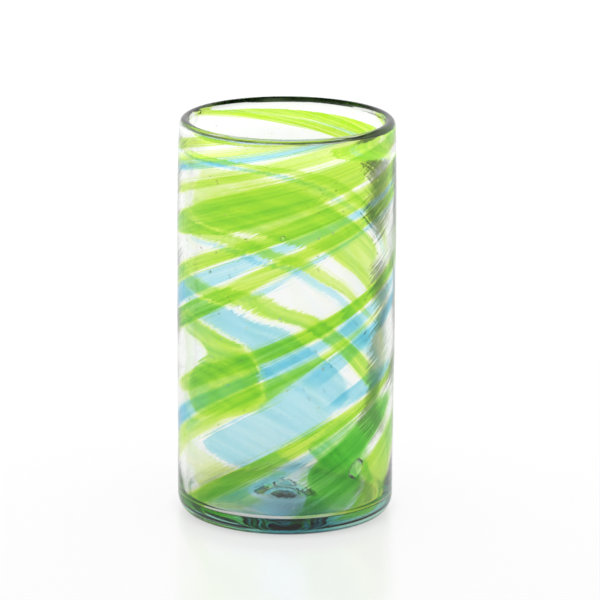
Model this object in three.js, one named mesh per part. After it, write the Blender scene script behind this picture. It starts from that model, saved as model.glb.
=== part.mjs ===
// Long drink glass: hand-blown clear glass with lime, green and aqua trails twisted into its wall.
// Millimetres, +Z up, origin at the centre of the foot. The front of the photo looks along +Y.
import * as THREE from "three";

// Sizes of the whole glass
const HEIGHT = 145;
const BODY_DIAMETER = 79.3;
const MOUTH_DRAW_IN = 1.0;
const FOOT_TAPER = 0.5;

// Layers of the wall and floor, from the outside in: casing, colour trails, gather
const CASING_WALL = 1.0;
const CASING_FLOOR = 3.5;
const FOOT_FLOOR = 1.4;
const TRAIL_THICKNESS = 0.5;
const TRAIL_EDGE = 0.3;
const GATHER_WALL = 0.8;
const GATHER_FLOOR = 0.9;
const CLEARANCE = 0.35;

// Foot, inside corner, pushed-up centre and lip
const HEEL_WIDTH = 4.0;
const HEEL_HEIGHT = 6.5;
const CORNER_RADIUS = 5;
const KICK_HEIGHT = 4;
const KICK_RADIUS = 12;
const RIM_HEIGHT = 4;
const RIM_WIDTH = 4;

// Turns of the trails up the wall, how many more are drawn in towards the rim, and where they start
const TWIST_TURNS = 1.0;
const RIM_TWIST_TURNS = 0.36;
const TWIST_START_DEGREES = 6.5;

// Fineness of the faceting
const ROUND_STEPS = 48;
const TRAIL_STEP_DEGREES = 13;
const CORNER_STEPS = 4;

// Sizes that follow from those above
const LAYER = TRAIL_THICKNESS + 2 * CLEARANCE;
const GATHER_INSET = CASING_WALL + LAYER;
const GATHER_BASE = CASING_FLOOR + LAYER;
const GATHER_CORNER = CORNER_RADIUS - LAYER;
const POOL_BASE = FOOT_FLOOR + CLEARANCE;
const PONTIL_RADIUS = KICK_RADIUS / 2;
const PONTIL_RECESS = KICK_HEIGHT / 5;
const WALL = GATHER_INSET + GATHER_WALL;
const RIM_BASE = HEIGHT - RIM_HEIGHT;
const SHELL_TOP = RIM_BASE - CLEARANCE;
const CORNER_TOP = GATHER_BASE + GATHER_CORNER;
const CORNER_RUN = (GATHER_CORNER * Math.PI) / 2;
const LAYER_RUN = SHELL_TOP - CORNER_TOP + CORNER_RUN;
const FLOOR_EDGE = wallRadius(CORNER_TOP) - GATHER_INSET - GATHER_CORNER;

const LIME = { color: 0xb4e62e, opacity: 0.85 };
const GREEN = { color: 0x4fbf3c, opacity: 0.85 };
const AQUA = { color: 0x86c8e6, opacity: 0.8 };
const TEAL = { color: 0x2f7f86, opacity: 0.85 };
const CLEAR = { color: 0xe6f2f0, opacity: 0.3 };
const SMOKY = { color: 0x5f6c5e, opacity: 0.7 };

// Each trail is a list of [level, left edge, right edge]. A level above 0 is a percentage of the way
// up the wall from the edge of the floor, one below 0 a percentage of the way in across the floor.
// The edges are degrees round the glass from the front, to the right, before the twist.
const TRAILS = {
  lime_trail_1: {
    glass: LIME,
    rows: [
      [-50, 22, 50], [-6, 20, 46], [4, 18, 44], [10.5, 4, 30], [15, -16, 18], [21, -18, 21],
      [29.5, -8, 20], [35.5, -4, 15], [41, 0, 25], [45, 6, 32], [50.5, 14, 40], [54.5, 25, 43],
      [61, 27, 45], [68, 25, 44], [75.5, 22, 41], [83, 12, 38], [90, 4, 37], [94.4, 3, 51],
      [97.2, 0, 60], [98.3, 6, 66], [99.5, 40, 71],
    ],
  },
  lime_trail_2: {
    glass: LIME,
    rows: [
      [17, 138, 156], [18.5, 128, 162], [21, 113, 164], [25, 100, 160], [28.5, 88, 148],
      [32, 80, 128], [35.5, 73, 98], [39.5, 71, 90], [44, 71, 92], [50.5, 72, 99], [54.5, 78, 101],
      [61, 78, 96], [66, 73, 90], [72, 65, 81], [77.5, 59, 76], [83, 56, 73], [88, 54, 72],
      [93.5, 59, 79], [95, 62, 82], [97, 68, 85], [99.5, 75, 89],
    ],
  },
  lime_trail_3: {
    glass: LIME,
    rows: [
      [31.5, 153, 168], [35.5, 152, 172], [41, 153, 176], [45, 158, 179], [50.5, 163, 181],
      [57.5, 166, 182], [65, 167, 183], [72, 171, 184], [78.5, 167, 183], [85, 161, 181],
      [92.5, 160, 180], [99.5, 160, 176],
    ],
  },
  lime_trail_4: {
    glass: LIME,
    rows: [
      [-55, 206, 254], [-14, 201, 266], [-2, 204, 258], [5, 201, 226], [12.5, 199, 225],
      [21, 198, 221], [28.5, 198, 217], [32, 198, 224], [35.5, 197.5, 219], [39.5, 198, 214],
      [43, 199.5, 210], [47, 202, 208], [52, 203, 207], [57.5, 203.5, 206.5],
    ],
  },
  lime_trail_5: {
    glass: LIME,
    rows: [
      [50.5, 268, 283], [55.5, 256, 280], [61, 240, 282], [64.5, 219, 298], [67, 215, 306],
      [72, 213, 309], [76, 209, 300], [81.5, 206, 262], [86, 205, 222], [92.5, 203, 213],
      [96, 201, 212], [99.5, 199, 212],
    ],
  },
  lime_trail_6: {
    glass: LIME,
    rows: [
      [83, 265, 276], [85, 262, 276], [90.5, 259, 273], [95, 254, 272], [97, 245, 272],
      [99.5, 238, 272],
    ],
  },
  lime_trail_7: {
    glass: LIME,
    rows: [
      [45.5, 305, 312], [50, 303, 314], [53.5, 301, 316], [57, 302, 320], [61, 309, 326],
      [66, 312, 329], [72.5, 313, 333], [77.5, 312, 364], [82, 306, 362], [86, 298, 360],
      [90.5, 293, 352], [95.5, 291, 320], [99.5, 289, 317],
    ],
  },
  lime_trail_8: {
    glass: LIME,
    rows: [
      [-60, 272, 368], [-45, 270, 358], [-25, 269, 340], [-12, 270, 322], [-2, 271, 304],
      [4, 271, 289], [21, 272, 289], [27.5, 273, 289], [31.5, 277, 291], [34, 281, 292],
      [38, 287, 296], [42, 288, 294],
    ],
  },
  green_trail_1: {
    glass: GREEN,
    rows: [
      [2, 346, 374], [6, 342, 370], [10.5, 328, 361], [15, 312, 340], [18, 306, 333],
      [21, 303, 329], [25.5, 299, 325], [30, 297, 319], [32.5, 295, 311],
    ],
  },
  green_trail_2: {
    glass: GREEN,
    rows: [
      [-45, 106, 146], [-4, 102, 148], [4.5, 98, 142], [7, 92, 134], [9.5, 84, 118],
      [12.5, 75, 104], [15, 67, 89], [18, 62, 72],
    ],
  },
  aqua_trail_1: {
    glass: AQUA,
    rows: [
      [-35, 164, 192], [-3, 164, 198], [4.5, 162, 197], [7, 148, 196], [9.5, 126, 194],
      [12.5, 108, 186], [14.5, 97, 157], [16.5, 86, 135], [17.5, 80, 126], [21, 60, 110],
      [25, 44, 97], [28.5, 38, 86], [32, 36, 77], [35.5, 36, 70], [39.5, 34, 67], [44, 42, 68],
      [48.5, 43, 68], [54.5, 46, 70], [61, 48, 71], [66, 48, 68], [72, 45, 61], [78.5, 42, 56],
      [85, 40, 52], [90, 40, 50], [94.4, 53, 57], [97.2, 62.5, 66],
    ],
  },
  aqua_trail_2: {
    glass: AQUA,
    rows: [
      [16.5, 173, 194], [18, 172, 195], [23, 175, 195], [28.5, 178, 195], [34.5, 181, 195],
      [39.5, 183.5, 195], [44, 184.5, 195], [47, 185, 198], [51.5, 186, 200], [57.5, 187, 201],
      [63, 190, 201], [70.5, 193, 201], [78, 191, 200], [85.5, 187, 199], [91, 181.5, 190],
      [96, 181, 186],
    ],
  },
  aqua_trail_3: {
    glass: AQUA,
    rows: [
      [37, 222, 234], [41, 216, 231], [45, 212, 228], [50.5, 210.5, 226], [55.5, 212, 225],
      [60, 214, 223], [63.5, 215, 220],
    ],
  },
  aqua_trail_4: {
    glass: AQUA,
    rows: [[31, 262, 270], [33, 258, 275], [35.5, 256, 281], [39, 259, 284], [41.5, 266, 279]],
  },
  aqua_trail_5: {
    glass: AQUA,
    rows: [
      [33.5, 338, 350], [35.5, 334, 352], [40, 328, 355], [43.5, 321, 339], [47, 318, 327],
      [51.5, 317, 327], [55.5, 320, 329], [58.5, 329, 336], [64.5, 332, 337], [71.5, 336, 339],
    ],
  },
  aqua_trail_6: {
    glass: AQUA,
    rows: [
      [60.5, 99, 105], [63, 96, 103], [67.5, 91, 96], [72, 83, 89], [77.5, 78, 83], [83, 75.5, 80],
      [89, 74.5, 78],
    ],
  },
  aqua_trail_7: {
    glass: AQUA,
    rows: [[5, 291, 301], [11, 291, 302], [18.5, 291.5, 301], [24, 291.5, 296.5], [28, 291.5, 294]],
  },
  aqua_trail_8: {
    glass: AQUA,
    rows: [[87, 226, 233], [90.5, 220, 230], [95.5, 219, 231], [99.5, 221, 230]],
  },
};

// Outside radius of the wall at a height
function wallRadius(z) {
  const level = z / HEIGHT;
  return BODY_DIAMETER / 2 - FOOT_TAPER * (1 - level) ** 2 - MOUTH_DRAW_IN * level ** 10;
}

// Rise of the pushed-up centre at a radius
function kickRise(radius) {
  if (radius >= KICK_RADIUS) return 0;
  return (KICK_HEIGHT * (1 + Math.cos((Math.PI * radius) / KICK_RADIUS))) / 2;
}

function kickPoints(floor) {
  const radii = [0, 0.3, 0.6, 1].map((part) => part * KICK_RADIUS);
  return radii.map((radius) => new THREE.Vector2(radius, floor + kickRise(radius)));
}

function wallPoints(inset, from, top) {
  const heights = [0.35, 0.6, 0.8, 0.9].map((part) => part * HEIGHT).filter((z) => z > from && z < top);
  return [...heights, top].map((z) => new THREE.Vector2(wallRadius(z) - inset, z));
}

// Angles that step round a quarter turn
function quarterSteps() {
  return Array.from({ length: CORNER_STEPS + 1 }, (_, k) => (k * Math.PI) / (2 * CORNER_STEPS));
}

// Half section of a cup's surface, from the middle of its floor to the top of its wall
function cupCurve(inset, floor, corner) {
  const centre = new THREE.Vector2(wallRadius(floor + corner) - inset - corner, floor + corner);
  const arc = quarterSteps().map((angle) => {
    return new THREE.Vector2(
      centre.x + corner * Math.sin(angle),
      centre.y - corner * Math.cos(angle),
    );
  });
  return [...kickPoints(floor), ...arc, ...wallPoints(inset, floor + corner, SHELL_TOP)];
}

// Half section of the outside, with the foot, the heel and the wall
function outsideCurve() {
  const footRadius = wallRadius(HEEL_HEIGHT) - HEEL_WIDTH;
  const heel = quarterSteps().map((angle) => {
    return new THREE.Vector2(
      footRadius + HEEL_WIDTH * Math.sin(angle),
      HEEL_HEIGHT * (1 - Math.cos(angle)),
    );
  });
  return [...kickPoints(0), ...heel, ...wallPoints(0, HEEL_HEIGHT, SHELL_TOP)];
}

// Turned solid about the Z axis from a half section that runs up the outside and down the inside
function turned(points) {
  const geometry = new THREE.LatheGeometry(points, ROUND_STEPS);
  return geometry.rotateX(Math.PI / 2);
}

// The outside of the gather, which carries the trails: a point of it and the way out from there
function layerPoint(level) {
  if (level < 0) {
    const radius = FLOOR_EDGE * (1 + level / 100);
    return { r: radius, z: GATHER_BASE + kickRise(radius), outR: 0, outZ: -1 };
  }
  const run = (level / 100) * LAYER_RUN;
  if (run < CORNER_RUN) {
    const outR = Math.sin(run / GATHER_CORNER);
    const outZ = -Math.cos(run / GATHER_CORNER);
    return { r: FLOOR_EDGE + GATHER_CORNER * outR, z: CORNER_TOP + GATHER_CORNER * outZ, outR, outZ };
  }
  const z = CORNER_TOP + run - CORNER_RUN;
  return { r: wallRadius(z) - GATHER_INSET, z, outR: 1, outZ: 0 };
}

// Degrees that the twist has turned a level
function twistAt(level) {
  const part = level / 100;
  if (level < 0) return TWIST_START_DEGREES + (360 * TWIST_TURNS * part * FLOOR_EDGE) / LAYER_RUN;
  return TWIST_START_DEGREES + 360 * (TWIST_TURNS * part + RIM_TWIST_TURNS * part ** 5);
}

// Edges of a trail at a level, straight between its rows
function edgesAt(rows, level) {
  const next = Math.max(1, rows.findIndex((row) => row[0] >= level));
  const [low, high] = [rows[next - 1], rows[next]];
  const part = THREE.MathUtils.clamp((level - low[0]) / (high[0] - low[0]), 0, 1);
  return [1, 2].map((side) => THREE.MathUtils.lerp(low[side], high[side], part));
}

// Levels along a trail: its rows, steps between them where it turns, and steps round the corner
function trailLevels(rows) {
  const levels = rows.map((row) => row[0]);
  for (let i = 1; i < rows.length; i += 1) {
    const [from, to] = [rows[i - 1], rows[i]];
    const twist = twistAt(to[0]) - twistAt(from[0]);
    const turns = [1, 2].map((side) => Math.abs(twist + to[side] - from[side]));
    const steps = Math.ceil(Math.max(...turns) / TRAIL_STEP_DEGREES);
    for (let k = 1; k < steps; k += 1) levels.push(from[0] + ((to[0] - from[0]) * k) / steps);
  }
  const [first, last] = [rows[0][0], rows.at(-1)[0]];
  for (let k = 0; k <= CORNER_STEPS; k += 1) {
    const level = (100 * CORNER_RUN * k) / (CORNER_STEPS * LAYER_RUN);
    if (level > first && level < last) levels.push(level);
  }
  levels.sort((a, b) => a - b);
  return levels.filter((level, i) => i === 0 || level - levels[i - 1] > 0.1);
}

// Ring of a trail at a level: along its inner face to the right, then back along its outer face
function trailRing(rows, level, columns) {
  const { r, z, outR, outZ } = layerPoint(level);
  const [left, right] = edgesAt(rows, level);
  const place = (column, out) => {
    const across = THREE.MathUtils.lerp(left, right, column / columns);
    const angle = THREE.MathUtils.degToRad(across + twistAt(level));
    const radius = r + out * outR;
    return [radius * Math.sin(angle), -radius * Math.cos(angle), z + out * outZ];
  };
  const thickness = (column) => {
    const bulge = Math.sqrt(1 - ((2 * column) / columns - 1) ** 2);
    return THREE.MathUtils.lerp(TRAIL_EDGE, TRAIL_THICKNESS, bulge);
  };
  const ring = [];
  for (let column = 0; column <= columns; column += 1) ring.push(place(column, CLEARANCE));
  for (let column = columns; column >= 0; column -= 1) {
    ring.push(place(column, CLEARANCE + thickness(column)));
  }
  return ring;
}

function apart(from, to) {
  return Math.hypot(from[0] - to[0], from[1] - to[1], from[2] - to[2]);
}

// Solid of a trail, ring by ring, closed at both ends. The twist slants its faces, so each is split
// along its short diagonal to stay close to the round wall.
function trailSolid(rows) {
  const widest = Math.max(...rows.map((row) => row[2] - row[1]));
  const columns = Math.max(2, Math.ceil(widest / TRAIL_STEP_DEGREES));
  const rings = trailLevels(rows).map((level) => trailRing(rows, level, columns));
  const size = 2 * (columns + 1);
  const index = [];
  for (let i = 0; i + 1 < rings.length; i += 1) {
    for (let k = 0; k < size; k += 1) {
      const next = (k + 1) % size;
      const [a, b] = [i * size + k, i * size + next];
      const [c, d] = [a + size, b + size];
      const falling = apart(rings[i][k], rings[i + 1][next]) < apart(rings[i][next], rings[i + 1][k]);
      if (falling) index.push(a, c, d, a, d, b);
      else index.push(a, c, b, b, c, d);
    }
  }
  const last = (rings.length - 1) * size;
  for (let k = 0; k < columns; k += 1) {
    const back = size - 1 - k;
    index.push(k, k + 1, back, k + 1, back - 1, back);
    index.push(last + k, last + back, last + k + 1, last + k + 1, last + back, last + back - 1);
  }
  const geometry = new THREE.BufferGeometry();
  geometry.setAttribute("position", new THREE.Float32BufferAttribute(rings.flat(2), 3));
  return geometry.setIndex(index);
}

// Outer clear gather: the outside wall, the heel and the thick foot, with a seat for the pool
function casing() {
  const cup = cupCurve(CASING_WALL, CASING_FLOOR, CORNER_RADIUS);
  const wall = cup.slice(kickPoints(CASING_FLOOR).length);
  const seat = [...kickPoints(FOOT_FLOOR), new THREE.Vector2(FLOOR_EDGE, FOOT_FLOOR)];
  return turned([...outsideCurve(), ...wall.reverse(), ...seat.reverse()]);
}

// Pool of teal glass in the foot, under the trails
function footPool() {
  const edge = FLOOR_EDGE - CLEARANCE;
  const underside = [...kickPoints(POOL_BASE), new THREE.Vector2(edge, POOL_BASE)];
  const top = [...kickPoints(CASING_FLOOR), new THREE.Vector2(edge, CASING_FLOOR)];
  return turned([...underside, ...top.reverse()]);
}

// First clear gather, blown into the cup that holds the drink
function innerGather() {
  const outside = cupCurve(GATHER_INSET, GATHER_BASE, GATHER_CORNER);
  const cavity = cupCurve(WALL, GATHER_BASE + GATHER_FLOOR, GATHER_CORNER - GATHER_WALL);
  return turned([...outside, ...cavity.reverse()]);
}

// Fire-polished lip over both gathers
function rimBead() {
  const outer = wallRadius(HEIGHT);
  const half = RIM_WIDTH / 2;
  const points = [new THREE.Vector2(outer - RIM_WIDTH, RIM_BASE), new THREE.Vector2(outer, RIM_BASE)];
  for (let step = 0; step <= 6; step += 1) {
    const angle = (step * Math.PI) / 6;
    points.push(
      new THREE.Vector2(outer - half + half * Math.cos(angle), HEIGHT - half + half * Math.sin(angle)),
    );
  }
  points.push(points[0].clone());
  return turned(points);
}

// Wad of glass left by the pontil iron, melted smooth under the pushed-up centre
function pontilMark() {
  const top = [1, 0.75, 0.5, 0.25, 0].map((part) => {
    const radius = part * PONTIL_RADIUS;
    return new THREE.Vector2(radius, kickRise(radius) - CLEARANCE);
  });
  const base = [new THREE.Vector2(0, PONTIL_RECESS), new THREE.Vector2(0.85 * PONTIL_RADIUS, PONTIL_RECESS)];
  return turned([...base, ...top]);
}

function piece(name, geometry, glass) {
  const material = new THREE.MeshStandardMaterial({
    color: glass.color,
    roughness: 0.05,
    metalness: 0,
    transparent: true,
    opacity: glass.opacity,
  });
  const mesh = new THREE.Mesh(geometry, material);
  mesh.name = name;
  return mesh;
}

const glass = new THREE.Group();
glass.name = "long_drink_glass";
glass.add(piece("casing", casing(), CLEAR));
glass.add(piece("inner_gather", innerGather(), CLEAR));
glass.add(piece("foot_pool", footPool(), TEAL));
glass.add(piece("rim_bead", rimBead(), SMOKY));
glass.add(piece("pontil_mark", pontilMark(), SMOKY));
for (const [name, trail] of Object.entries(TRAILS)) {
  glass.add(piece(name, trailSolid(trail.rows), trail.glass));
}

export default glass;
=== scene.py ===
# Long drink glass, dressed for rendering: a clear blown body with lime, green and aqua trails in its wall.
import math
import random

import bpy
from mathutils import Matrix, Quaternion, Vector, noise


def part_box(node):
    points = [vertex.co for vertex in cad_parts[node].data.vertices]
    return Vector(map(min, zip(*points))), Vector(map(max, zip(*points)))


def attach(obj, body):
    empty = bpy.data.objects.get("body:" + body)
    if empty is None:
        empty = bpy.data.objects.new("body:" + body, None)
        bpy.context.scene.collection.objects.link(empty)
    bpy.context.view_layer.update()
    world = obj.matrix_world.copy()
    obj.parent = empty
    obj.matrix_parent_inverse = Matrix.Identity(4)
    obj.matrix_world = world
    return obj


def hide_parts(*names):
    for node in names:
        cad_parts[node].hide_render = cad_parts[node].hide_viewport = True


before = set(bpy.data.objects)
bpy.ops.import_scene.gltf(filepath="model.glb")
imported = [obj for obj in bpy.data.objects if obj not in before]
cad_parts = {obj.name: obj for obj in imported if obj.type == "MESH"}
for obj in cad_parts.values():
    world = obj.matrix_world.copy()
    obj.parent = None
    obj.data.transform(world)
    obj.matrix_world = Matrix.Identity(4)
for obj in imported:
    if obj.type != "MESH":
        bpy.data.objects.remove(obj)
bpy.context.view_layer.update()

MM = 0.001

# Sizes read off the frame, in millimetres
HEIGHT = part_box("rim_bead")[1].z / MM
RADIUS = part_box("casing")[1].x / MM
GATHER_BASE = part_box("inner_gather")[0].z / MM
GATHER_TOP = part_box("inner_gather")[1].z / MM

# Sizes in millimetres that the boxes don't show, as the part has them
BODY_RADIUS = 79.3 / 2
MOUTH_DRAW_IN = 1.0
MOUTH_DRAW_POWER = 10
FOOT_TAPER = 0.5
WALL = 3.0
RIM_WALL = 4.0
RIM_SWELL = 9.0
LIP_RADIUS = RIM_WALL / 2
GATHER_INSET = 2.2
GATHER_CORNER = 3.8
CAVITY_FLOOR = 5.6
CAVITY_CORNER = 3.0
HEEL_WIDTH = 4.0
HEEL_HEIGHT = 6.5
KICK_HEIGHT = 4
KICK_RADIUS = 12

# Twist of the trails: turns over their layer, further turns near the rim, and degrees at the floor's edge
TWIST_TURNS = 1.0
RIM_TWIST_TURNS = 0.36
RIM_TWIST_POWER = 5
TWIST_START = 6.5

# Fineness of the turned pieces, in sides and in millimetres
BODY_SIDES = 256
POOL_SIDES = 96
WAD_SIDES = 64
ROUND_STEPS = 16
AXIS_RADIUS = 0.4
KICK_STEP = 0.8
FLOOR_STEP = 2
WALL_STEP = 1.5

# Ripples of the blown wall: depth, size and place in the noise; they fade out at the foot and the lip
OUTER_RIPPLE = (0.32, 24, 3.7)
INNER_RIPPLE = (0.6, 30, 9.1)
RIPPLE_STRETCH = 3
RIPPLE_MARGIN = 4
RIPPLE_FOOT_FADE = 12
RIPPLE_LIP_FADE = 10

# Start of the random numbers
RANDOM_START = 7

# Seeds, the tiny bubbles: number and lean, then ranges of size, depth in the wall, stretch and height
SEED_COUNT = 240
SEED_LEAN = math.radians(58)
SMALL_SEED = (0.16, 0.32)
LARGE_SEED = (0.32, 0.48)
SMALL_SHARE = 0.85
SEED_INSETS = ((0.7, 0.95), (WALL - 0.6, WALL - 0.5))
SEED_STRETCH = (1, 1.8)
SEED_DEPTH = 0.3
SEED_HEIGHTS = (9, HEIGHT - 8)

# Blisters: degrees round from the front, height, half length, half width and lean in degrees
BLISTERS = ((41, 23, 4.4, 2.7, 38), (-2, 110, 1.1, 0.9, 40), (-44, 95, 0.8, 0.5, 58), (20, 62, 0.7, 0.5, 58))
BLISTER_INSET = 0.8
BLISTER_DEPTH = 0.16
BUBBLE_RINGS = 6
BUBBLE_SIDES = 12

# Pool of teal glass in the foot
POOL_RADIUS = 32.8
POOL_EDGE = 1
POOL_BASE = 1.75
POOL_DEPTH = 1.75
POOL_STEP = 1.0

# Dark core of the lip, the glass's own green with painted shade in it: radius, place and mesh, then its
# swell all round, and the painted shade's swell at the back and right and in a wedge
LIP_CORE = 0.42
LIP_CORE_OUT = 0.5
LIP_CORE_UP = 0.5
LIP_CORE_SIDES = 12
LIP_CORE_ROUNDS = 256
LIP_SWELL = 0.95
LIP_BACK_SHADE_SWELL = 0.25
LIP_RIGHT_SHADE_SWELL = 0.2
LIP_SHADE_WEDGE = math.radians(64)
LIP_WEDGE_WIDTH = 0.6
LIP_WEDGE_SWELL = 1.3
LIP_UNEVEN = 0.25
LIP_UNEVEN_PACE = 2.5

# Pontil wad: radii, base, gap to the push-up, and its tears as size, place in the noise and share
WAD_RADIUS = 5.2
WAD_FOOT = 4.5
WAD_BASE = 0.8
WAD_AXIS = 0.3
WAD_GAP = 0.35
WAD_TOP_STEP = 0.35
WAD_BASE_STEP = 0.6
WAD_TEARS = ((1.8, 2, 1), (0.8, 7, 0.5))
WAD_TEAR_DEPTH = 0.35
WAD_TEAR_LEVEL = 0.8
WAD_TEAR_ABOVE = 1
WAD_SWELL = 0.12
WAD_SWELL_PACE = 1.3

# Trails: place and thickness in their layer, run into the lip, mesh steps and soft ends
TRAIL_INSIDE = 0.35
TRAIL_THICKNESS = 0.5
LIP_RUN = 3.0
TOP_RUN = 2
COLUMN_WIDTH = 0.9
LEAST_COLUMNS = 8
RUN_STEP = 1.2
TIP_RUN = 6
TIP_START = 0.15
FLOOR_FADE_START = 2
FLOOR_FADE_RUN = 5
LEAST_WIDTH = 0.5
LEAST_SPAN = 0.01
LEAST_ARC_RADIUS = 5

# Wisps beside the trails: reach, the further reach of those that fray under the lip, and where that starts
WISP_REACH = 4.5
FRAYED = {"lime_trail_5": 8, "lime_trail_6": 8, "lime_trail_7": 8, "aqua_trail_8": 8}
FRAY_START = 0.8
FRAY_RISE = 0.12
LEAST_WISP_RADIUS = 15

# Glass of each trail, its share on the floor, and its strength at even steps from foot to top
LIME, GREEN, AQUA = "lime", "green", "aqua"
TRAILS = {
    "lime_trail_1": (LIME, 0, [0.7, 0.9, 1.3, 1.1, 0.97, 0.95]),
    "lime_trail_2": (LIME, 1, [1.2, 1.7, 1.5, 1.5, 1.1, 1.05, 1.0, 1.0, 0.9]),
    "lime_trail_3": (LIME, 1, [0.6, 1.2, 1.4, 1.3, 1.1, 0.65, 0.7, 0.75]),
    "lime_trail_4": (LIME, 1, [0.1, 0.8, 0.6, 0.12, 0.15, 0.3, 0.6, 1.0, 0.9, 0.8, 0.7, 0.65]),
    "lime_trail_5": (LIME, 1, [0.6, 0.9, 1.0, 1.1, 0.35, 0.25, 0.35, 0.4]),
    "lime_trail_6": (LIME, 1, [0.6, 0.75, 0.8, 0.6, 0.35]),
    "lime_trail_7": (LIME, 1, [0.6, 0.8, 0.9, 0.9, 0.9, 1.0, 1.0, 0.9]),
    "lime_trail_8": (LIME, 2.4, [0.9, 0.9, 1.0, 1.0, 1.1, 1.0, 0.7]),
    "green_trail_1": (GREEN, 1, [0.5, 0.7, 0.9, 1.0, 0.9, 0.8]),
    "green_trail_2": (GREEN, 0.3, [0.5, 0.5, 0.6, 0.6, 0.4, 0.3, 0.2]),
    "aqua_trail_1": (AQUA, 0.35, [0.9, 0.75, 0.72, 0.8, 0.95, 0.9, 1.0, 0.8, 0.7, 0.65, 0.6, 0.7, 0.9]),
    "aqua_trail_2": (AQUA, 1, [0.8, 1.0, 1.0, 0.8, 0.85, 0.7, 0.35, 0.3, 0.8, 1.1]),
    "aqua_trail_3": (AQUA, 1, [0.3, 0.9, 1.1, 1.2, 0.9]),
    "aqua_trail_4": (AQUA, 1, [0.6, 1.0, 1.0, 0.8]),
    "aqua_trail_5": (AQUA, 1, [0.4, 0.9, 0.65, 0.7, 0.7, 0.6, 0.5]),
    "aqua_trail_6": (AQUA, 1, [0.4, 0.6, 0.6, 0.6, 0.55, 0.5]),
    "aqua_trail_7": (AQUA, 1, [0.6, 0.6, 0.6, 0.5, 0.5]),
    "aqua_trail_8": (AQUA, 1, [0.4, 0.8, 0.9, 0.8]),
}

# Clear glass, and the bump of its cords, whose depth is in metres
WHITE = (1, 1, 1, 1)
GLASS_IOR = 1.5
GLASS_TINT = (0.24, 0.42, 0.12, 1)
GLASS_DENSITY = 12
CORD_DEPTH = 0.00004
CORD_STRETCH = 9
CORD_START = 8
CORD_GRAIN = 0.45

# Tints of the coloured glasses, the lip's dark for its painted shade, and how much clouds and streaks change
# a trail's amount
LIP_SHADE_TINTS = ((0.16, 0.2, 0.11), (0.06, 0.12, 0.05))
TEAL_TINTS = ((0.36, 0.68, 0.74), (0.08, 0.38, 0.52))
TRAIL_GLASS = {
    LIME: ("lime_glass", ((0.72, 0.9, 0.06), (0.42, 0.81, 0.07)), 0.4, 0.33),
    GREEN: ("green_glass", ((0.22, 0.72, 0.05), (0.12, 0.6, 0.05)), 0.4, 0.33),
    AQUA: ("aqua_glass", ((0.41, 0.79, 0.9), (0.32, 0.74, 0.87)), 0.25, 0.14),
}

# Amount of colour over a trail: grain across and along it, and spans of noise, of millimetres or of height
STREAK_GRAIN = (1.1, 0.035, 0)
CLOUD_GRAIN = (0.14, 0.03, 0)
WANDER_GRAIN = (0.12, 0.07, 0)
STREAK_SPAN = (0.3, 0.7)
CLOUD_SPAN = (0.25, 0.75)
WANDER_MIDDLE = 0.5
WANDER_REACH = 3
EDGE_SPAN = (-1.2, 2.0)
CREASE_INSIDE = 0.4
CREASE_SPAN = (0.06, 0.28)
CREASE_AMOUNT = 1.3
CREASE_NOISE = (0.48, 0.6)
WISP_SPAN = (-WISP_REACH + 0.2, -1)
WISP_NOISE = (0.5, 0.6)
WISP_LEVELS = (0.8, 0.98)
WISP_AMOUNTS = (0.4, 1.2)
MORE_WISP_LEVELS = (0.88, 0.96)
MORE_WISPS = 0.05

# Amount of colour in the pool and of painted shade in the lip, by places in metres and by noise
POOL_SPOT = (0.002, -0.028, 0.003)
POOL_SPAN = (0.004, 0.04)
POOL_AMOUNTS = (1.2, 0.4)
POOL_BLEND_SPAN = (0.008, 0.026)
POOL_GRAIN = 45
LIP_SHADE_SPAN = (-0.04, 0.02)
LIP_SHADE_AMOUNTS = (0.6, 1.5)
LIP_GRAIN = 60
LIP_BLEND_GRAIN = 30
TINT_NOISE = (0.3, 0.7)
TINT_CLOUDS = (0.5, 1.5)

# Broken glass of the wad: grain, and colours by place in the noise, dark and brown for painted shade and
# pale for painted glints
WAD_GRAIN = (500, 900, 500)
WAD_SHADE_DARK = (0.34, (0.035, 0.02, 0.012, 1))
WAD_SHADE_BROWN = (0.5, (0.3, 0.24, 0.19, 1))
WAD_GLINT_PALE = (0.6, (0.75, 0.82, 0.85, 1))
WAD_ROUGHNESS = 0.35

# Floor: half width and drop, its look, and its own light for other rays and for the camera
FLOOR_HALF = 6000
FLOOR_DROP = 0.1
FLOOR_TONE = (0.18, 0.18, 0.18, 1)
FLOOR_ROUGHNESS = 0.2
FLOOR_SPECULAR = 0.2
FLOOR_LIGHT = (0.63, 0.7)

# Painted shadow under the foot: share of that light left there, and where it grows to the whole, in metres
# from the middle
FOOT_PAINTED_SHADOW = 0.72
UNDER_FOOT_SPAN = (0.03, 0.044)

# Studio dome, dark overhead in what the glass reflects and bends
OVERHEAD_SPAN = (0.4, 0.75)
OVERHEAD_LIGHT = 0.03

# Cards behind the glass on the right, which the edge of the glass shows as painted shade: corners and tone
CARDS = {
    "dark_card": (((58, 250, 43), (160, 250, 43), (160, 250, 92), (43, 250, 92)), (0.07, 0.09, 0.05, 1)),
    "olive_card": (((37, 95, 0), (58, 95, 0), (70, 95, 66), (46, 95, 66)), (0.28, 0.36, 0.1, 1)),
    "stroke_card": (((47, 93, 42), (66, 93, 42), (84, 93, 68), (53, 93, 68)), (0.04, 0.05, 0.05, 1)),
}

# Camera, from the ellipses of the rim and foot in the photo
CAMERA_DISTANCE = 1545.9
CAMERA_ELEVATION = 14.858
CAMERA_ROLL = 0.377
CAMERA_LENS = 256.34
CAMERA_SENSOR = 36
CAMERA_END = 100000
AIM_HEIGHT = 72.35
FRAME_SHIFT = (0.0230, 0.0232)

# Bounces of light that the layers of glass need
GLASS_BOUNCES = 48
GLOSSY_BOUNCES = 24
CLEAR_BOUNCES = 64

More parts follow.
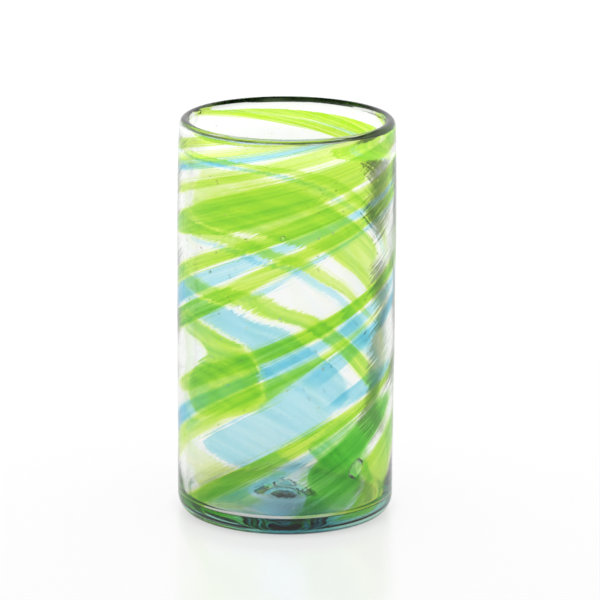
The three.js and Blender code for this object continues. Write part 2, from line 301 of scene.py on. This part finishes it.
# Sockets of a Mix node: its two numbers, its two colours and the mixed colour
MIX_NUMBERS = (2, 3)
MIX_COLOURS = (6, 7)
MIXED_COLOUR = 2


def smooth(value):
    value = min(max(value, 0), 1)
    return value * value * (3 - 2 * value)


def steps(start, end, size):
    count = max(1, math.ceil(abs(end - start) / size))
    return [start + (end - start) * k / count for k in range(count + 1)]


# Value of a list of even steps at a place from 0 to 1
def between(values, place):
    spot = min(max(place, 0), 1) * (len(values) - 1)
    low = min(int(spot), len(values) - 2)
    return values[low] + (values[low + 1] - values[low]) * (spot - low)


def wall_radius(z):
    level = z / HEIGHT
    draw_in = MOUTH_DRAW_IN * level**MOUTH_DRAW_POWER
    return min(BODY_RADIUS - FOOT_TAPER * (1 - level) ** 2 - draw_in, RADIUS)


# Thickness of the wall, which swells into the lip
def wall_at(z):
    swell = smooth((z - HEIGHT + LIP_RADIUS + RIM_SWELL) / RIM_SWELL)
    return WALL + (RIM_WALL - WALL) * swell


def kick_rise(radius):
    if radius >= KICK_RADIUS:
        return 0
    return KICK_HEIGHT * (1 + math.cos(math.pi * radius / KICK_RADIUS)) / 2


CORNER_TOP = GATHER_BASE + GATHER_CORNER
CORNER_RUN = GATHER_CORNER * math.pi / 2
FLOOR_EDGE = wall_radius(CORNER_TOP) - GATHER_INSET - GATHER_CORNER
LAYER_RUN = GATHER_TOP - CORNER_TOP + CORNER_RUN


# Point at a radius, an angle round from the front and a height
def round_point(r, angle, z):
    return (r * math.sin(angle), -r * math.cos(angle), z)


# Corners of each quad between two rings of vertices
def quads(here, there):
    for k in range(len(here)):
        after = (k + 1) % len(here)
        yield here[k], here[after], there[after], there[k]


def mesh_piece(name, verts, faces):
    mesh = bpy.data.meshes.new(name)
    mesh.from_pydata([tuple(c * MM for c in v) for v in verts], [], faces)
    mesh.polygons.foreach_set("use_smooth", [True] * len(mesh.polygons))
    mesh.update()
    piece = bpy.data.objects.new(name, mesh)
    bpy.context.scene.collection.objects.link(piece)
    return piece


def vector_attribute(piece, name, vectors):
    layout = piece.data.attributes.new(name, "FLOAT_VECTOR", "POINT")
    layout.data.foreach_set("vector", [c for vector in vectors for c in vector])


# Turned surface about Z from a half section that starts and ends near the axis
def turned(section, sides):
    verts = [round_point(r, 2 * math.pi * k / sides, z) for r, z in section for k in range(sides)]
    rings = [range(i * sides, (i + 1) * sides) for i in range(len(section))]
    faces = []
    for here, there in zip(rings, rings[1:]):
        faces += quads(here, there)
    for row, flip in ((0, True), (len(section) - 1, False)):
        centre = len(verts)
        verts.append((0, 0, section[row][1]))
        for a, b, _, _ in quads(rings[row], rings[row]):
            faces.append((centre, b, a) if flip else (centre, a, b))
    return verts, faces


# Underside and outside of the body in half section, from the middle of the foot up to the lip
def outer_section():
    points = [(r, kick_rise(r)) for r in steps(AXIS_RADIUS, KICK_RADIUS, KICK_STEP)]
    foot = wall_radius(HEEL_HEIGHT) - HEEL_WIDTH
    points += [(r, 0) for r in steps(KICK_RADIUS, foot, FLOOR_STEP)[1:]]
    for k in range(1, ROUND_STEPS + 1):
        turn = math.pi / 2 * k / ROUND_STEPS
        points.append((foot + HEEL_WIDTH * math.sin(turn), HEEL_HEIGHT * (1 - math.cos(turn))))
    points += [(wall_radius(z), z) for z in steps(HEEL_HEIGHT, HEIGHT - LIP_RADIUS, WALL_STEP)[1:]]
    return points


def lip_section():
    middle, centre = wall_radius(HEIGHT) - LIP_RADIUS, HEIGHT - LIP_RADIUS
    turns = [math.pi * k / ROUND_STEPS for k in range(1, ROUND_STEPS)]
    return [(middle + LIP_RADIUS * math.cos(turn), centre + LIP_RADIUS * math.sin(turn)) for turn in turns]


# Inside of the body in half section, from the lip down to the middle of the floor
def inner_section():
    bend = CAVITY_FLOOR + CAVITY_CORNER
    points = [(wall_radius(z) - wall_at(z), z) for z in steps(HEIGHT - LIP_RADIUS, bend, WALL_STEP)]
    corner = wall_radius(bend) - WALL - CAVITY_CORNER
    for k in range(1, ROUND_STEPS + 1):
        turn = math.pi / 2 * k / ROUND_STEPS
        points.append((corner + CAVITY_CORNER * math.cos(turn), bend - CAVITY_CORNER * math.sin(turn)))
    points += [(r, CAVITY_FLOOR) for r in steps(corner, KICK_RADIUS, FLOOR_STEP)[1:]]
    points += [(r, CAVITY_FLOOR + kick_rise(r)) for r in steps(KICK_RADIUS, AXIS_RADIUS, KICK_STEP)[1:]]
    return points


# Place of a point before the twist, drawn together in height
def untwisted(point, stretch):
    x, y, z = point
    turn = -2 * math.pi * z / HEIGHT
    across = x * math.cos(turn) - y * math.sin(turn)
    deep = x * math.sin(turn) + y * math.cos(turn)
    return Vector((across, deep, z / stretch))


# Shallow ripple of the blown wall that leans with the twist
def ripple(point, depth, size, shift):
    z = point[2]
    leant = untwisted(point, RIPPLE_STRETCH)
    at_foot = smooth((z - RIPPLE_MARGIN) / RIPPLE_FOOT_FADE)
    at_lip = smooth((HEIGHT - RIPPLE_MARGIN - z) / RIPPLE_LIP_FADE)
    return depth * (at_foot * at_lip) * (noise.noise(leant / size + Vector((shift, 0, 0))) - 1) / 2


def rippled(point):
    x, y, z = point
    r = math.hypot(x, y)
    if r < KICK_RADIUS:
        return point
    outside = r > wall_radius(z) - WALL / 2
    change = ripple(point, *OUTER_RIPPLE) if outside else -ripple(point, *INNER_RIPPLE)
    return (x * (1 + change / r), y * (1 + change / r), z)


# Hollow in the wall at an angle, height and radius: half length, half width and half depth, and its lean
def hollow(first, angle, z, r, sizes, lean):
    length, width, depth = sizes
    out = Vector((math.sin(angle), -math.cos(angle), 0))
    side = Vector((math.cos(angle), math.sin(angle), 0))
    along = side * math.sin(lean) + Vector((0, 0, 1)) * math.cos(lean)
    over = out.cross(along)
    verts = []
    for i in range(1, BUBBLE_RINGS):
        tilt = math.pi * i / BUBBLE_RINGS
        for k in range(BUBBLE_SIDES):
            turn = 2 * math.pi * k / BUBBLE_SIDES
            flat = along * (length * math.cos(tilt)) + over * (width * math.sin(tilt) * math.cos(turn))
            bend = math.sqrt(max(r * r - (flat.x * side.x + flat.y * side.y) ** 2, 0)) - r
            spot = flat + out * (r + bend + depth * math.sin(tilt) * math.sin(turn))
            verts.append((spot.x, spot.y, spot.z + z))
    starts = [first + i * BUBBLE_SIDES for i in range(BUBBLE_RINGS - 1)]
    rings = [range(start, start + BUBBLE_SIDES) for start in starts]
    faces = []
    for here, there in zip(rings, rings[1:]):
        faces += [(a, d, c, b) for a, b, c, d in quads(here, there)]
    faces.append(tuple(rings[0]))
    faces.append(tuple(reversed(rings[-1])))
    return verts, faces


# Angle, height, inset, sizes and lean of each bubble: the blisters that the photo shows, then strewn seeds
def wanted_bubbles():
    dice = random.Random(RANDOM_START)
    wanted = []
    for angle, z, length, width, lean in BLISTERS:
        sizes = (length, width, BLISTER_DEPTH)
        wanted.append((math.radians(angle), z, BLISTER_INSET, sizes, math.radians(lean)))
    for _ in range(SEED_COUNT):
        size = dice.uniform(*(SMALL_SEED if dice.random() < SMALL_SHARE else LARGE_SEED))
        inset = dice.choice([dice.uniform(*span) for span in SEED_INSETS])
        sizes = (size * dice.uniform(*SEED_STRETCH), size, min(size, SEED_DEPTH))
        wanted.append((dice.uniform(0, 2 * math.pi), dice.uniform(*SEED_HEIGHTS), inset, sizes, SEED_LEAN))
    return wanted


def glass_body():
    verts, faces = turned(outer_section() + lip_section() + inner_section(), BODY_SIDES)
    verts = [rippled(v) for v in verts]
    for angle, z, inset, sizes, lean in wanted_bubbles():
        more_verts, more_faces = hollow(len(verts), angle, z, wall_radius(z) - inset, sizes, lean)
        verts += more_verts
        faces += more_faces
    piece = mesh_piece("glass_body", verts, faces)
    vector_attribute(piece, "untwisted", [untwisted(v, CORD_STRETCH) for v in verts])
    return piece


# Pool of teal glass low in the foot, which follows the pushed-up centre
def foot_pool():
    low = [(r, POOL_BASE + kick_rise(r)) for r in steps(AXIS_RADIUS, KICK_RADIUS, POOL_STEP)]
    low += [(r, POOL_BASE) for r in steps(KICK_RADIUS, POOL_RADIUS - POOL_EDGE, FLOOR_STEP)[1:]]
    edge = [(POOL_RADIUS, POOL_BASE + POOL_DEPTH / 2)]
    high = [(r, z + POOL_DEPTH) for r, z in reversed(low)]
    verts, faces = turned(low + edge + high, POOL_SIDES)
    return mesh_piece("foot_pool_glass", verts, faces)


# Swell of the lip core: more painted shade at the back and right and in a wedge
def lip_shade_swell(angle):
    swell = LIP_SWELL - LIP_BACK_SHADE_SWELL * math.cos(angle) + LIP_RIGHT_SHADE_SWELL * math.sin(angle)
    swell += LIP_WEDGE_SWELL * smooth(1 - abs(angle - LIP_SHADE_WEDGE) / LIP_WEDGE_WIDTH)
    swell += LIP_UNEVEN * noise.noise(Vector((math.sin(angle), math.cos(angle), 0)) * LIP_UNEVEN_PACE)
    return swell


# Core of the lip: a dark green-grey bead that paints the lip's shade, thicker at the back and right
def lip_shade_core():
    middle = wall_radius(HEIGHT) - LIP_RADIUS + LIP_CORE_OUT
    centre = HEIGHT - LIP_RADIUS + LIP_CORE_UP
    verts, faces = [], []
    for i in range(LIP_CORE_ROUNDS):
        angle = 2 * math.pi * i / LIP_CORE_ROUNDS
        swell = lip_shade_swell(angle)
        for k in range(LIP_CORE_SIDES):
            turn = 2 * math.pi * k / LIP_CORE_SIDES
            r = middle + LIP_CORE * swell * math.cos(turn)
            verts.append(round_point(r, angle, centre + LIP_CORE * swell * math.sin(turn)))
    rings = [range(i, i + LIP_CORE_SIDES) for i in range(0, len(verts), LIP_CORE_SIDES)]
    for here, there in zip(rings, rings[1:] + rings[:1]):
        faces += [(a, d, c, b) for a, b, c, d in quads(here, there)]
    return mesh_piece("rim_bead_shade_glass", verts, faces)


# Wad of glass that the pontil iron left: a torn lump under the pushed-up centre
def pontil_wad():
    top = [(r, kick_rise(r) - WAD_GAP) for r in steps(WAD_AXIS, WAD_RADIUS, WAD_TOP_STEP)]
    base = [(r, WAD_BASE) for r in steps(WAD_FOOT, WAD_AXIS, WAD_BASE_STEP)]
    verts, faces = turned(top + base, WAD_SIDES)
    lumpy = []
    for x, y, z in verts:
        r = math.hypot(x, y)
        around = Vector((x, y, 0)) / max(r, WAD_AXIS) * WAD_SWELL_PACE
        swell = 1 + WAD_SWELL * noise.noise(around) - WAD_SWELL
        tear = sum(share * noise.noise(Vector((x, y, spot)) / size) for size, spot, share in WAD_TEARS)
        rise = WAD_TEAR_DEPTH * (tear - WAD_TEAR_LEVEL) if z > WAD_TEAR_ABOVE else 0
        lumpy.append((x * swell, y * swell, z + rise))
    return mesh_piece("pontil_mark_glass", lumpy, [tuple(reversed(f)) for f in faces])


# Degrees that the twist has turned a trail at a run along the layer, which is negative on the floor
def twist_at(run):
    part = run / LAYER_RUN
    if run < 0:
        return TWIST_START + 360 * TWIST_TURNS * part
    return TWIST_START + 360 * (TWIST_TURNS * part + RIM_TWIST_TURNS * part**RIM_TWIST_POWER)


def run_of(r, z):
    if z > CORNER_TOP:
        return CORNER_RUN + z - CORNER_TOP
    if r < FLOOR_EDGE:
        return r - FLOOR_EDGE
    return GATHER_CORNER * math.atan2(r - FLOOR_EDGE, CORNER_TOP - z)


# Radius and height at a run along the layer, a little way out from the inner gather
def layer_point(run, out):
    if run < 0:
        r = FLOOR_EDGE + run
        return r, GATHER_BASE + kick_rise(r) - out
    if run < CORNER_RUN:
        turn = run / GATHER_CORNER
        reach = GATHER_CORNER + out
        return FLOOR_EDGE + reach * math.sin(turn), CORNER_TOP - reach * math.cos(turn)
    z = CORNER_TOP + run - CORNER_RUN
    return wall_radius(z) - GATHER_INSET + out, z


# Course of a trail as its CAD node has it: run, and left and right edge in degrees without the twist
def trail_course(trail):
    rings = {}
    for vertex in trail.data.vertices:
        x, y, z = (c / MM for c in vertex.co)
        run = round(run_of(math.hypot(x, y), z), 1)
        rings.setdefault(run, []).append(math.degrees(math.atan2(x, -y)) - twist_at(run))
    course = []
    middle = None
    for run in sorted(rings):
        near = middle if middle is not None else rings[run][0]
        angles = [near + (a - near + 180) % 360 - 180 for a in rings[run]]
        if max(angles) - min(angles) < LEAST_WIDTH:
            continue
        middle = (max(angles) + min(angles)) / 2
        course.append((run, min(angles), max(angles)))
    return course


# Smooth curve from one value to the next, with the slope at each
def curve(start, end, slopes, part):
    return (
        start * (1 + 2 * part) * (1 - part) ** 2
        + slopes[0] * part * (1 - part) ** 2
        + end * part**2 * (3 - 2 * part)
        - slopes[1] * part**2 * (1 - part)
    )


# Edges of a trail at a run, on a curve through its course that goes straight on past the last row
def edges_at(course, run):
    last, before_last = course[-1], course[-2]
    if run >= last[0]:
        slopes = [(last[side] - before_last[side]) / (last[0] - before_last[0]) for side in (1, 2)]
        return [last[side] + slopes[side - 1] * (run - last[0]) for side in (1, 2)]
    k = 1
    while k < len(course) - 1 and course[k][0] < run:
        k += 1
    points = [course[max(k - 2, 0)], course[k - 1], course[k], course[min(k + 1, len(course) - 1)]]
    gap = points[2][0] - points[1][0]
    part = (run - points[1][0]) / gap
    edges = []
    for side in (1, 2):
        slopes = []
        for before, after in ((0, 2), (1, 3)):
            span = max(points[after][0] - points[before][0], LEAST_SPAN)
            slopes.append((points[after][side] - points[before][side]) / span * gap)
        edges.append(curve(points[1][side], points[2][side], slopes, part))
    return edges


# Reach of a trail's wisps, longer where it frays under the lip
def wisp_at(name, run):
    fray = smooth((run / LAYER_RUN - FRAY_START) / FRAY_RISE)
    return WISP_REACH + (FRAYED.get(name, WISP_REACH) - WISP_REACH) * fray


# Strength of a trail's colour at a run, which fades at its ends unless it runs into the lip
def strength_at(name, run, first, last, at_top):
    _, on_floor, strengths = TRAILS[name]
    fade = smooth((run - first) / TIP_RUN + TIP_START)
    if not at_top:
        fade *= smooth((last - run) / TIP_RUN + TIP_START)
    strength = between(strengths, (run - first) / (last - first)) * fade
    return strength * (on_floor + (1 - on_floor) * smooth((run + FLOOR_FADE_START) / FLOOR_FADE_RUN))


# Points round a trail at a run, with each one's place: across, along and in from the edge
def trail_ring(course, run, wisp, columns):
    left, right = edges_at(course, run)
    reach = math.degrees(wisp / max(layer_point(run, 0)[0], LEAST_WISP_RADIUS))
    left, right = left - reach, right + reach
    ends = (0, columns)
    verts, places = [], []
    for face in (0, 1):
        for column in range(columns + 1):
            if face and column in ends:
                continue
            across = 2 * column / columns - 1
            bulge = math.sqrt(max(0, 1 - across * across)) * (0.5 if face else -0.5)
            r, z = layer_point(run, TRAIL_INSIDE + TRAIL_THICKNESS * (0.5 + bulge))
            degrees = left + (right - left) * column / columns
            verts.append(round_point(r, math.radians(degrees + twist_at(run)), z))
            arc = math.radians(right - left) * max(r, LEAST_ARC_RADIUS) / 2
            inside = arc * (1 - abs(across)) - wisp
            if inside < 0:
                inside *= WISP_REACH / wisp
            places.append((math.radians(degrees) * BODY_RADIUS, run, inside))
    return verts, places


# Faces of a trail: its skin from ring to ring, and a cap of strips at each end
def trail_faces(rows, columns):
    size = 2 * columns
    order = list(range(columns + 1)) + list(range(size - 1, columns, -1))
    rings = [[i * size + k for k in order] for i in range(rows)]
    faces = []
    for here, there in zip(rings, rings[1:]):
        faces += [(b, a, d, c) for a, b, c, d in quads(here, there)]
    for start, flip in ((0, False), ((rows - 1) * size, True)):
        for k in range(columns):
            corners = [start + k, start + k + 1]
            if k < columns - 1:
                corners.append(start + columns + k + 1)
            if k > 0:
                corners.append(start + columns + k)
            faces.append(tuple(reversed(corners)) if flip else tuple(corners))
    return faces


def trail_piece(name):
    course = trail_course(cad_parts[name])
    first, last = course[0][0], course[-1][0]
    at_top = last > LAYER_RUN - TOP_RUN
    if at_top:
        last += LIP_RUN
    widest = max(math.radians(right - left) * BODY_RADIUS for _, left, right in course)
    columns = max(LEAST_COLUMNS, math.ceil(widest / COLUMN_WIDTH))
    runs = steps(first, last, RUN_STEP)
    verts, places, strengths = [], [], []
    for run in runs:
        ring, ring_places = trail_ring(course, run, wisp_at(name, run), columns)
        verts += ring
        places += ring_places
        strengths += [strength_at(name, run, first, last, at_top)] * len(ring)
    piece = mesh_piece(name + "_glass", verts, trail_faces(len(runs), columns))
    vector_attribute(piece, "place", places)
    layout = piece.data.attributes.new("strength", "FLOAT", "POINT")
    layout.data.foreach_set("value", strengths)
    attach(piece, "root")
    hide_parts(name)
    return piece


def node(tree, kind, **settings):
    made = tree.nodes.new(kind)
    for key, value in settings.items():
        setattr(made, key, value)
    return made


def math_node(tree, operation, a, b=None):
    made = node(tree, "ShaderNodeMath", operation=operation)
    for socket, value in zip(made.inputs, (a, b)):
        if isinstance(value, (int, float)):
            socket.default_value = value
        elif value is not None:
            tree.links.new(value, socket)
    return made.outputs[0]


def product(tree, *values):
    result = values[0]
    for value in values[1:]:
        result = math_node(tree, "MULTIPLY", result, value)
    return result


def noise_node(tree, vector, scale, detail):
    stretch = node(tree, "ShaderNodeMapping")
    stretch.inputs["Scale"].default_value = scale
    tree.links.new(vector, stretch.inputs["Vector"])
    made = node(tree, "ShaderNodeTexNoise")
    made.inputs["Scale"].default_value = 1
    made.inputs["Detail"].default_value = detail
    tree.links.new(stretch.outputs[0], made.inputs["Vector"])
    return made.outputs["Fac"]


def ramp_node(tree, value, low, high, start=0, end=1):
    made = node(tree, "ShaderNodeMapRange", interpolation_type="SMOOTHSTEP")
    for key, number in (("From Min", low), ("From Max", high), ("To Min", start), ("To Max", end)):
        made.inputs[key].default_value = number
    tree.links.new(value, made.inputs["Value"])
    return made.outputs[0]


def split_node(tree, vector):
    made = node(tree, "ShaderNodeSeparateXYZ")
    tree.links.new(vector, made.inputs[0])
    return made.outputs


def object_place(tree):
    return node(tree, "ShaderNodeTexCoord").outputs["Object"]


def empty_material(name):
    material = bpy.data.materials.new(name)
    material.use_nodes = True
    return material, material.node_tree, material.node_tree.nodes["Principled BSDF"]


def see_through(shader, ior):
    shader.inputs["Roughness"].default_value = 0
    shader.inputs["IOR"].default_value = ior
    shader.inputs["Transmission Weight"].default_value = 1


# Clear glass with a faint green body, and cords drawn out along the twist above the foot
def clear_glass():
    material, tree, shader = empty_material("clear_glass")
    shader.inputs["Base Color"].default_value = WHITE
    see_through(shader, GLASS_IOR)
    tint = node(tree, "ShaderNodeVolumeAbsorption")
    tint.inputs["Color"].default_value = GLASS_TINT
    tint.inputs["Density"].default_value = GLASS_DENSITY
    tree.links.new(tint.outputs[0], tree.nodes["Material Output"].inputs["Volume"])
    place = node(tree, "ShaderNodeAttribute", attribute_name="untwisted").outputs["Vector"]
    foot = (CORD_START / CORD_STRETCH, 2 * CORD_START / CORD_STRETCH)
    cords = node(tree, "ShaderNodeBump")
    tree.links.new(ramp_node(tree, split_node(tree, place)["Z"], *foot), cords.inputs["Strength"])
    cords.inputs["Distance"].default_value = CORD_DEPTH
    tree.links.new(noise_node(tree, place, (CORD_GRAIN,) * 3, detail=2), cords.inputs["Height"])
    tree.links.new(cords.outputs[0], shader.inputs["Normal"])
    return material


# Film of coloured glass: its tint is the colour to the power of an amount that varies over it
def tinted_film(name, colours, amount_of, *settings):
    material, tree, shader = empty_material(name)
    amount, blend = amount_of(tree, *settings)
    colour = node(tree, "ShaderNodeMix", data_type="RGBA")
    for socket, value in zip(MIX_COLOURS, colours):
        colour.inputs[socket].default_value = (*value, 1)
    tree.links.new(blend, colour.inputs[0])
    tint = node(tree, "ShaderNodeGamma")
    tree.links.new(colour.outputs[MIXED_COLOUR], tint.inputs["Color"])
    tree.links.new(amount, tint.inputs["Gamma"])
    tree.links.new(tint.outputs[0], shader.inputs["Base Color"])
    see_through(shader, 1)
    return material


# Thin wisps beside a trail, more of them under the lip
def wisp_amount(tree, fine, along, inside):
    levels = [level * LAYER_RUN for level in WISP_LEVELS]
    more_levels = [level * LAYER_RUN for level in MORE_WISP_LEVELS]
    more = ramp_node(tree, along, *more_levels, 0, MORE_WISPS)
    lines = ramp_node(tree, math_node(tree, "ADD", fine, more), *WISP_NOISE)
    beside = ramp_node(tree, inside, *WISP_SPAN)
    return product(tree, lines, beside, ramp_node(tree, along, *levels, *WISP_AMOUNTS))


# Amount of colour over a trail: soft edges, streaks along it, a crease near the edge and wisps beside it
def trail_amount(tree, cloud, streak):
    place = node(tree, "ShaderNodeAttribute", attribute_name="place").outputs["Vector"]
    strength = node(tree, "ShaderNodeAttribute", attribute_name="strength").outputs["Fac"]
    _, along, inside = split_node(tree, place)
    fine = noise_node(tree, place, STREAK_GRAIN, detail=4)
    broad = noise_node(tree, place, CLOUD_GRAIN, detail=2)
    wander = noise_node(tree, place, WANDER_GRAIN, detail=3)
    streaks = ramp_node(tree, fine, *STREAK_SPAN, 1 - streak, 1 + streak)
    clouds = ramp_node(tree, broad, *CLOUD_SPAN, 1 - cloud, 1 + cloud)
    shift = product(tree, math_node(tree, "SUBTRACT", wander, WANDER_MIDDLE), WANDER_REACH)
    edge = ramp_node(tree, math_node(tree, "ADD", inside, shift), *EDGE_SPAN)
    from_crease = math_node(tree, "ABSOLUTE", math_node(tree, "SUBTRACT", inside, CREASE_INSIDE))
    crease = ramp_node(tree, from_crease, *CREASE_SPAN, CREASE_AMOUNT, 0)
    crease = product(tree, crease, ramp_node(tree, broad, *CREASE_NOISE))
    wisps = wisp_amount(tree, fine, along, inside)
    amount = math_node(tree, "MAXIMUM", product(tree, edge, streaks, clouds), wisps)
    return product(tree, math_node(tree, "ADD", amount, crease), strength), wander


# Amount of teal in the pool, deepest at a spot near the front
def pool_amount(tree):
    place = object_place(tree)
    reach = node(tree, "ShaderNodeVectorMath", operation="DISTANCE")
    tree.links.new(place, reach.inputs[0])
    reach.inputs[1].default_value = POOL_SPOT
    middle = ramp_node(tree, reach.outputs["Value"], *POOL_SPAN, *POOL_AMOUNTS)
    grain = noise_node(tree, place, (POOL_GRAIN,) * 3, detail=3)
    clouds = ramp_node(tree, grain, *TINT_NOISE, *TINT_CLOUDS)
    return product(tree, middle, clouds), ramp_node(tree, reach.outputs["Value"], *POOL_BLEND_SPAN, 1, 0)


# Amount of painted shade in the lip, most at the back and the right
def lip_shade_amount(tree):
    place = object_place(tree)
    x, y, _ = split_node(tree, place)
    # More painted shade towards the back and right
    back = ramp_node(tree, math_node(tree, "ADD", y, x), *LIP_SHADE_SPAN, *LIP_SHADE_AMOUNTS)
    grain = noise_node(tree, place, (LIP_GRAIN,) * 3, detail=2)
    clouds = ramp_node(tree, grain, *TINT_NOISE, *TINT_CLOUDS)
    return product(tree, back, clouds), noise_node(tree, place, (LIP_BLEND_GRAIN,) * 3, detail=2)


# Rough wad with painted shade in dark and brown and painted glints in pale
def wad_shade_and_glints():
    material, tree, shader = empty_material("pontil_shade_and_glint_glass")
    colours = node(tree, "ShaderNodeValToRGB")
    stops = colours.color_ramp.elements
    stops[0].position, stops[0].color = WAD_SHADE_DARK
    stops[1].position, stops[1].color = WAD_GLINT_PALE
    stops.new(WAD_SHADE_BROWN[0]).color = WAD_SHADE_BROWN[1]
    tree.links.new(noise_node(tree, object_place(tree), WAD_GRAIN, detail=4), colours.inputs[0])
    tree.links.new(colours.outputs[0], shader.inputs["Base Color"])
    shader.inputs["Roughness"].default_value = WAD_ROUGHNESS
    return material


# Pale floor that glows a little, less so under the foot as a painted shadow
def floor():
    half = FLOOR_HALF
    corners = [(-half, -half, 0), (half, -half, 0), (half, half, 0), (-half, half, 0)]
    piece = mesh_piece("floor", corners, [(0, 1, 2, 3)])
    material, tree, shader = empty_material("pale_floor")
    shader.inputs["Base Color"].default_value = FLOOR_TONE
    shader.inputs["Roughness"].default_value = FLOOR_ROUGHNESS
    shader.inputs["Specular IOR Level"].default_value = FLOOR_SPECULAR
    shader.inputs["Emission Color"].default_value = WHITE
    path = node(tree, "ShaderNodeLightPath")
    lit = ramp_node(tree, path.outputs["Is Camera Ray"], 0, 1, *FLOOR_LIGHT)
    reach = node(tree, "ShaderNodeVectorMath", operation="LENGTH")
    tree.links.new(object_place(tree), reach.inputs[0])
    # Painted shadow: less glow under the foot
    under = ramp_node(tree, reach.outputs["Value"], *UNDER_FOOT_SPAN, FOOT_PAINTED_SHADOW, 1)
    tree.links.new(product(tree, lit, under), shader.inputs["Emission Strength"])
    piece.data.materials.append(material)
    piece.location.z = -FLOOR_DROP * MM


def world_light():
    world = bpy.data.worlds.new("studio")
    bpy.context.scene.world = world
    world.use_nodes = True
    tree = world.node_tree
    path = node(tree, "ShaderNodeLightPath")
    bent = math_node(tree, "MAXIMUM", path.outputs["Is Glossy Ray"], path.outputs["Is Transmission Ray"])
    rise = split_node(tree, node(tree, "ShaderNodeTexCoord").outputs["Generated"])["Z"]
    shade = ramp_node(tree, rise, *OVERHEAD_SPAN, 1, OVERHEAD_LIGHT)
    plain, shaded = MIX_NUMBERS
    dim = node(tree, "ShaderNodeMix", data_type="FLOAT")
    tree.links.new(bent, dim.inputs[0])
    dim.inputs[plain].default_value = 1
    tree.links.new(shade, dim.inputs[shaded])
    sky = tree.nodes["Background"]
    tree.links.new(dim.outputs[0], sky.inputs["Strength"])
    sky.inputs["Color"].default_value = WHITE


# Flat card that only shows through the glass, as painted shade in what the glass bends
def card(name, corners, tone):
    piece = mesh_piece(name, corners, [(0, 1, 2, 3)])
    material, _, shader = empty_material(name)
    shader.inputs["Base Color"].default_value = tone
    shader.inputs["Roughness"].default_value = 1
    shader.inputs["Specular IOR Level"].default_value = 0
    piece.data.materials.append(material)
    piece.visible_camera = piece.visible_diffuse = piece.visible_glossy = piece.visible_shadow = False


def camera():
    data = bpy.data.cameras.new("camera")
    view = bpy.data.objects.new("camera", data)
    bpy.context.scene.collection.objects.link(view)
    rise = math.radians(CAMERA_ELEVATION)
    back = Vector((0, -math.cos(rise), math.sin(rise)))
    view.location = (Vector((0, 0, AIM_HEIGHT)) + back * CAMERA_DISTANCE) * MM
    facing = (-back).to_track_quat("-Z", "Y")
    view.rotation_mode = "QUATERNION"
    view.rotation_quaternion = facing @ Quaternion((0, 0, 1), math.radians(CAMERA_ROLL))
    data.lens = CAMERA_LENS
    data.sensor_width = CAMERA_SENSOR
    data.shift_x, data.shift_y = FRAME_SHIFT
    data.clip_end = CAMERA_END * MM
    bpy.context.scene.camera = view


body = glass_body()
body.data.materials.append(clear_glass())
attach(body, "root")
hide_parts("casing", "inner_gather")
# Dark lip core that paints the lip's shade
lip = lip_shade_core()
lip.data.materials.append(tinted_film("lip_shade_glass", LIP_SHADE_TINTS, lip_shade_amount))
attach(lip, "root")
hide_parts("rim_bead")
# Pontil wad whose colours paint its shade and glints
wad = pontil_wad()
wad.data.materials.append(wad_shade_and_glints())
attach(wad, "root")
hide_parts("pontil_mark")
pool = foot_pool()
pool.data.materials.append(tinted_film("pool_glass", TEAL_TINTS, pool_amount))
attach(pool, "root")
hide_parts("foot_pool")

looks = {}
for colour, (name, tints, cloud, streak) in TRAIL_GLASS.items():
    looks[colour] = tinted_film(name, tints, trail_amount, cloud, streak)
for name, (colour, _, _) in TRAILS.items():
    piece = trail_piece(name)
    piece.data.materials.append(looks[colour])

floor()
world_light()
for name, (corners, tone) in CARDS.items():
    card(name, corners, tone)
camera()
scene = bpy.context.scene
scene.view_settings.view_transform = "Standard"
scene.cycles.max_bounces = GLASS_BOUNCES
scene.cycles.transmission_bounces = GLASS_BOUNCES
scene.cycles.glossy_bounces = GLOSSY_BOUNCES
scene.cycles.transparent_max_bounces = CLEAR_BOUNCES
